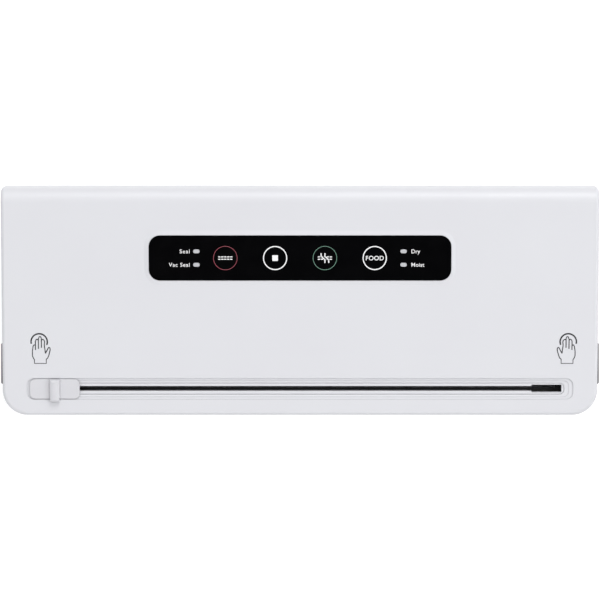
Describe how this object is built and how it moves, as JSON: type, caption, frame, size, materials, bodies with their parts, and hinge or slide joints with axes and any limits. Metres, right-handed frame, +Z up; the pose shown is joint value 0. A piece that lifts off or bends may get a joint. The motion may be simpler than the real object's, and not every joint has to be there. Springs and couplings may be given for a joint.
{
  "type": "vacuum sealer",
  "caption": "Countertop food vacuum sealer: sloping hinged lid with touch control panel and sliding bag cutter, over a base with vacuum chamber, sealing bar and side latches.",
  "frame": {"origin": "on the table under the middle of the bounding box", "axes": "+X along the sealing bar to the right as seen from the front, -Y is the front edge, +Z up"},
  "size_m": [0.3832, 0.1454, 0.0741],
  "materials": {
    "white_shell": "fine satin moulded plastic",
    "white_slider": "satin moulded plastic",
    "black_gloss": "polished",
    "dark_grey_plastic": "fine satin",
    "light_grey_plastic": "fine satin",
    "lens": "clear frosted",
    "gasket_foam": "closed-cell foam skin",
    "silicone": "smooth",
    "clear_hose": "smooth",
    "foot_rubber": "matt",
    "steel": "bright",
    "blade_steel": "ground",
    "heater_strip": "rolled strip",
    "phenolic": "pressed laminate",
    "tape": "woven, coated",
    "motor_can": "zinc plated",
    "pump_body": "glass filled",
    "laminated_iron": "varnished stack",
    "copper_coil": "yellow tape over the winding",
    "circuit_board": "green resist",
    "component_black": "moulded",
    "plated_brass": "nickel plated"
  },
  "bodies": {
    "base": {"base_housing": "white_shell", "bottom_cover": "light_grey_plastic", "rubber_feet": "foot_rubber", "bottom_screws": "steel", "hinge_pins": "steel", "lower_gasket": "gasket_foam", "heater_bar": "phenolic", "heating_element": "heater_strip", "sealing_tape": "tape", "vacuum_port": "light_grey_plastic", "vacuum_hose": "clear_hose", "pump_motor": "motor_can", "pump_crankcase": "pump_body", "pump_diaphragm": "foot_rubber", "pump_head": "pump_body", "transformer_core": "laminated_iron", "transformer_coil": "copper_coil", "main_board": "circuit_board", "main_board_posts": "light_grey_plastic", "main_board_parts": "component_black", "power_inlet": "component_black", "inlet_pins": "plated_brass"},
    "lid": {"lid_cover": "white_shell", "lid_liner": "light_grey_plastic", "lid_hooks": "dark_grey_plastic", "lid_screws": "steel", "upper_gasket": "gasket_foam", "press_bar": "silicone", "slit_seal": "foot_rubber", "cutter_rail": "white_shell", "control_panel": "black_gloss", "indicator_lenses": "lens", "control_board": "circuit_board", "control_board_spacers": "light_grey_plastic", "key_switches": "component_black", "indicator_lamps": "lens"},
    "cutter": {"cutter_slider": "white_slider", "cutter_shoe": "white_slider", "cutter_blade": "blade_steel"},
    "pump_crank": {"pump_crank": "steel"},
    "seal_key": {"seal_key": "black_gloss"},
    "stop_key": {"stop_key": "black_gloss"},
    "vacuum_key": {"vacuum_key": "black_gloss"},
    "food_key": {"food_key": "black_gloss"},
    "left_release": {"left_release_button": "dark_grey_plastic", "left_latch_catch": "light_grey_plastic", "left_latch_spring": "steel"},
    "right_release": {"right_release_button": "dark_grey_plastic", "right_latch_catch": "light_grey_plastic", "right_latch_spring": "steel"}
  },
  "joints": [
    {"name": "lid_hinge", "type": "hinge", "parent": "base", "child": "lid", "pos_m": [0, 0.06265, 0.06414], "axis": [-1, 0, 0], "range_deg": [0, 80]},
    {"name": "cutter_slide", "type": "slide", "parent": "lid", "child": "cutter", "axis": [1, 0, 0], "range_m": [0, 0.3107]},
    {"name": "pump_crank_spin", "type": "hinge", "parent": "base", "child": "pump_crank", "pos_m": [-0.1126, 0.05685, 0.0225], "axis": [1, 0, 0], "continuous": true},
    {"name": "seal_key_press", "type": "slide", "parent": "lid", "child": "seal_key", "axis": [0, 0.1219, -0.9925], "range_m": [0, 0.0006], "stiffness_N_per_m": 1500, "springref_m": -0.0005},
    {"name": "stop_key_press", "type": "slide", "parent": "lid", "child": "stop_key", "axis": [0, 0.1219, -0.9925], "range_m": [0, 0.0006], "stiffness_N_per_m": 1500, "springref_m": -0.0005},
    {"name": "vacuum_key_press", "type": "slide", "parent": "lid", "child": "vacuum_key", "axis": [0, 0.1219, -0.9925], "range_m": [0, 0.0006], "stiffness_N_per_m": 1500, "springref_m": -0.0005},
    {"name": "food_key_press", "type": "slide", "parent": "lid", "child": "food_key", "axis": [0, 0.1219, -0.9925], "range_m": [0, 0.0006], "stiffness_N_per_m": 1500, "springref_m": -0.0005},
    {"name": "left_release_press", "type": "slide", "parent": "base", "child": "left_release", "axis": [1, 0, 0], "range_m": [0, 0.0025], "stiffness_N_per_m": 400, "springref_m": -0.003, "deforming": ["left_latch_spring"]},
    {"name": "right_release_press", "type": "slide", "parent": "base", "child": "right_release", "axis": [-1, 0, 0], "range_m": [0, 0.0025], "stiffness_N_per_m": 400, "springref_m": -0.003, "deforming": ["right_latch_spring"]}
  ]
}
